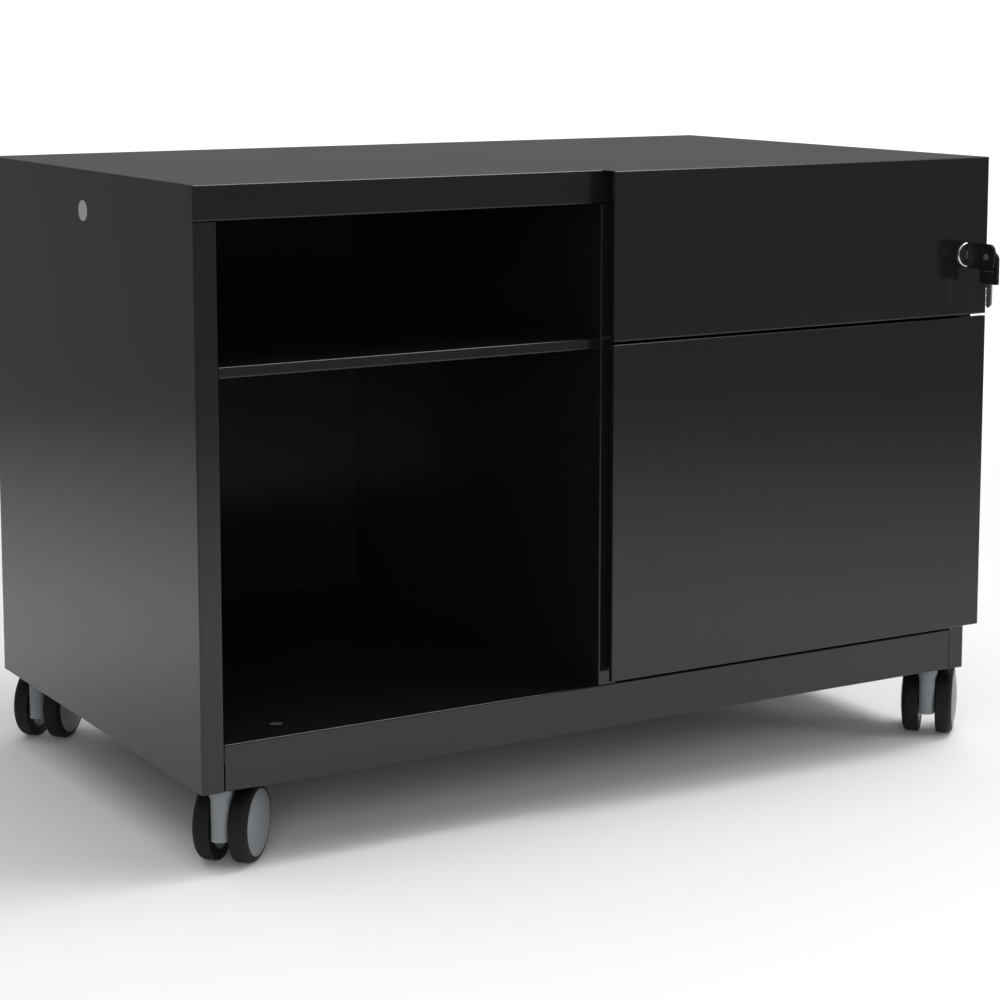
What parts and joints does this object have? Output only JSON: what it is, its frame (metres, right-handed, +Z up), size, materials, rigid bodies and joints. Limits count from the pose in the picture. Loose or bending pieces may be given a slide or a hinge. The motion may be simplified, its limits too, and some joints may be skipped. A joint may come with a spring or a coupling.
{
  "type": "rolling pedestal cabinet",
  "caption": "Low black steel office pedestal on swivel castors: open bay with a shelf beside a box drawer over a lockable filing drawer, keys in the lock.",
  "frame": {"origin": "on the floor under the middle of the body's 800 by 468 mm footprint, castors and keys left aside", "axes": "+X to the right as seen from the front, +Y to the back, +Z up; the drawers open towards -Y"},
  "size_m": [0.8326, 0.5643, 0.566],
  "materials": {
    "black_paint": "smooth semi-gloss black powder coat",
    "zinc_steel": "bright zinc plated",
    "bright_chrome": "polished",
    "nickel_key": "stamped nickel plate",
    "black_plastic": "fine moulded grain",
    "castor_grey": "satin moulded nylon",
    "tyre_black": "matt soft tread",
    "cap_grey": "satin moulded cap",
    "white_nylon": "natural moulded nylon"
  },
  "bodies": {
    "carcass": {"left_side_panel": "black_paint", "left_liner_panel": "black_paint", "right_side_panel": "black_paint", "top_panel": "black_paint", "base_pan": "black_paint", "back_panel": "black_paint", "partition_panel": "black_paint", "shelf": "black_paint", "shelf_clips": "zinc_steel", "side_caps": "cap_grey", "castor_plates": "zinc_steel", "castor_stems": "zinc_steel", "castor_nuts": "zinc_steel", "runner_brackets": "zinc_steel", "cabinet_rails": "zinc_steel", "lock_bar_guides": "white_nylon"},
    "upper_drawer": {"upper_drawer_front": "black_paint", "upper_front_liner": "black_paint", "upper_drawer_box": "black_paint", "upper_drawer_rails": "zinc_steel", "lock_housing": "bright_chrome"},
    "upper_runner_middle": {"upper_middle_rails": "zinc_steel"},
    "file_drawer": {"file_drawer_front": "black_paint", "file_front_liner": "black_paint", "file_drawer_box": "black_paint", "file_drawer_rails": "zinc_steel", "hanging_file_rails": "black_paint"},
    "file_runner_middle": {"file_middle_rails": "zinc_steel"},
    "lock_plug": {"lock_barrel": "bright_chrome", "lock_cam": "zinc_steel"},
    "lock_lift_bar": {"lock_bar": "zinc_steel"},
    "key": {"key_blade": "nickel_key", "key_bow": "black_plastic", "key_eyelet": "nickel_key"},
    "spare_key": {"spare_key_blade": "nickel_key", "spare_key_bow": "black_plastic"},
    "front_left_castor": {"castor_front_left_fork": "castor_grey", "castor_front_left_axle": "zinc_steel"},
    "front_left_castor_left_wheel": {"castor_front_left_left_hub": "castor_grey", "castor_front_left_left_tyre": "tyre_black"},
    "front_left_castor_right_wheel": {"castor_front_left_right_hub": "castor_grey", "castor_front_left_right_tyre": "tyre_black"},
    "front_right_castor": {"castor_front_right_fork": "castor_grey", "castor_front_right_axle": "zinc_steel"},
    "front_right_castor_left_wheel": {"castor_front_right_left_hub": "castor_grey", "castor_front_right_left_tyre": "tyre_black"},
    "front_right_castor_right_wheel": {"castor_front_right_right_hub": "castor_grey", "castor_front_right_right_tyre": "tyre_black"},
    "back_left_castor": {"castor_back_left_fork": "castor_grey", "castor_back_left_axle": "zinc_steel"},
    "back_left_castor_left_wheel": {"castor_back_left_left_hub": "castor_grey", "castor_back_left_left_tyre": "tyre_black"},
    "back_left_castor_right_wheel": {"castor_back_left_right_hub": "castor_grey", "castor_back_left_right_tyre": "tyre_black"},
    "back_right_castor": {"castor_back_right_fork": "castor_grey", "castor_back_right_axle": "zinc_steel"},
    "back_right_castor_left_wheel": {"castor_back_right_left_hub": "castor_grey", "castor_back_right_left_tyre": "tyre_black"},
    "back_right_castor_right_wheel": {"castor_back_right_right_hub": "castor_grey", "castor_back_right_right_tyre": "tyre_black"}
  },
  "joints": [
    {"name": "upper_drawer_slide", "type": "slide", "parent": "carcass", "child": "upper_drawer", "axis": [0, -1, 0], "range_m": [0, 0.4]},
    {"name": "upper_runner_slide", "type": "slide", "parent": "carcass", "child": "upper_runner_middle", "axis": [0, -1, 0], "range_m": [0, 0.2]},
    {"name": "file_drawer_slide", "type": "slide", "parent": "carcass", "child": "file_drawer", "axis": [0, -1, 0], "range_m": [0, 0.4]},
    {"name": "file_runner_slide", "type": "slide", "parent": "carcass", "child": "file_runner_middle", "axis": [0, -1, 0], "range_m": [0, 0.2]},
    {"name": "lock_turn", "type": "hinge", "parent": "upper_drawer", "child": "lock_plug", "pos_m": [0.3745, -0.2545, 0.4755], "axis": [0, -1, 0], "range_deg": [0, 90]},
    {"name": "lock_bar_lift", "type": "slide", "parent": "carcass", "child": "lock_lift_bar", "axis": [0, 0, 1], "range_m": [0, 0.01]},
    {"name": "key_pull", "type": "slide", "parent": "lock_plug", "child": "key", "axis": [0, -1, 0], "range_m": [0, 0.03]},
    {"name": "spare_key_swing", "type": "hinge", "parent": "key", "child": "spare_key", "pos_m": [0.3779, -0.283, 0.4755], "axis": [-1, 0, 0], "range_deg": [-25, 100]},
    {"name": "front_left_castor_swivel", "type": "hinge", "parent": "carcass", "child": "front_left_castor", "pos_m": [-0.3746, -0.2125, 0.06], "axis": [0, 0, 1], "continuous": true},
    {"name": "front_left_left_wheel_spin", "type": "hinge", "parent": "front_left_castor", "child": "front_left_castor_left_wheel", "pos_m": [-0.35622, -0.19412, 0.0335], "axis": [-0.7071, 0.7071, 0], "continuous": true},
    {"name": "front_left_right_wheel_spin", "type": "hinge", "parent": "front_left_castor", "child": "front_left_castor_right_wheel", "pos_m": [-0.35622, -0.19412, 0.0335], "axis": [-0.7071, 0.7071, 0], "continuous": true},
    {"name": "front_right_castor_swivel", "type": "hinge", "parent": "carcass", "child": "front_right_castor", "pos_m": [0.3746, -0.2125, 0.06], "axis": [0, 0, 1], "continuous": true},
    {"name": "front_right_left_wheel_spin", "type": "hinge", "parent": "front_right_castor", "child": "front_right_castor_left_wheel", "pos_m": [0.39298, -0.19412, 0.0335], "axis": [-0.7071, 0.7071, 0], "continuous": true},
    {"name": "front_right_right_wheel_spin", "type": "hinge", "parent": "front_right_castor", "child": "front_right_castor_right_wheel", "pos_m": [0.39298, -0.19412, 0.0335], "axis": [-0.7071, 0.7071, 0], "continuous": true},
    {"name": "back_left_castor_swivel", "type": "hinge", "parent": "carcass", "child": "back_left_castor", "pos_m": [-0.3746, 0.2125, 0.06], "axis": [0, 0, 1], "continuous": true},
    {"name": "back_left_left_wheel_spin", "type": "hinge", "parent": "back_left_castor", "child": "back_left_castor_left_wheel", "pos_m": [-0.35622, 0.23089, 0.0335], "axis": [-0.7071, 0.7071, 0], "continuous": true},
    {"name": "back_left_right_wheel_spin", "type": "hinge", "parent": "back_left_castor", "child": "back_left_castor_right_wheel", "pos_m": [-0.35622, 0.23089, 0.0335], "axis": [-0.7071, 0.7071, 0], "continuous": true},
    {"name": "back_right_castor_swivel", "type": "hinge", "parent": "carcass", "child": "back_right_castor", "pos_m": [0.3746, 0.2125, 0.06], "axis": [0, 0, 1], "continuous": true},
    {"name": "back_right_left_wheel_spin", "type": "hinge", "parent": "back_right_castor", "child": "back_right_castor_left_wheel", "pos_m": [0.39298, 0.23089, 0.0335], "axis": [-0.7071, 0.7071, 0], "continuous": true},
    {"name": "back_right_right_wheel_spin", "type": "hinge", "parent": "back_right_castor", "child": "back_right_castor_right_wheel", "pos_m": [0.39298, 0.23089, 0.0335], "axis": [-0.7071, 0.7071, 0], "continuous": true}
  ],
  "couplings": [
    {"joint": "upper_runner_slide", "follows": "upper_drawer_slide", "ratio": 0.5},
    {"joint": "file_runner_slide", "follows": "file_drawer_slide", "ratio": 0.5},
    {"joint": "lock_bar_lift", "follows": "lock_turn", "m_per_rad": 0.006365}
  ]
}
